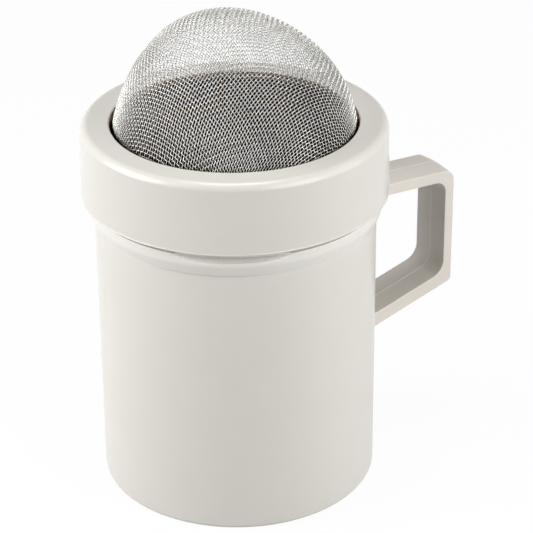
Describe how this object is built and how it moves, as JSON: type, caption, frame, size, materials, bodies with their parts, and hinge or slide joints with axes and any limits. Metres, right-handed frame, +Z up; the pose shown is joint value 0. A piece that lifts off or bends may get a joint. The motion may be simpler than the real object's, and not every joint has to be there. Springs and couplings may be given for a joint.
{
  "type": "powder shaker cup",
  "caption": "Handled shaker cup with a screw-on ring cap and a woven wire strainer dome that sifts powder when it is tipped and shaken.",
  "frame": {"origin": "centre of the foot, on the axis of the cup", "axes": "+Z up along the axis of the cup, +X towards the handle"},
  "size_m": [0.0938, 0.0708, 0.115],
  "materials": {
    "cup_plastic": "glossy warm light grey",
    "neck_plastic": "glossy warm light grey",
    "handle_plastic": "satin taupe with a faint parting line",
    "cap_plastic": "glossy warm off-white",
    "liner_plastic": "plain off-white moulding",
    "seal_rubber": "soft translucent white silicone",
    "rim_steel": "folded stainless strip",
    "wire_steel": "plain woven stainless wire"
  },
  "bodies": {
    "cup": {"cup_body": "cup_plastic", "neck_ring": "neck_plastic", "handle": "handle_plastic"},
    "strainer": {"strainer_rim": "rim_steel", "mesh_dome": "wire_steel"},
    "seal": {"roof_seal": "seal_rubber"},
    "cap": {"cap_shell": "cap_plastic", "cap_liner": "liner_plastic"}
  },
  "joints": [
    {"name": "strainer_lift", "type": "slide", "parent": "cup", "child": "strainer", "axis": [0, 0, 1], "range_m": [0, 0.06]},
    {"name": "cap_rise", "type": "slide", "parent": "strainer", "child": "seal", "axis": [0, 0, 1], "range_m": [0, 0.006]},
    {"name": "cap_turn", "type": "hinge", "parent": "seal", "child": "cap", "pos_m": [0, 0, 0.0732], "axis": [0, 0, 1], "range_deg": [0, 540]}
  ],
  "couplings": [
    {"joint": "cap_rise", "follows": "cap_turn", "m_per_rad": 0.00063662}
  ]
}
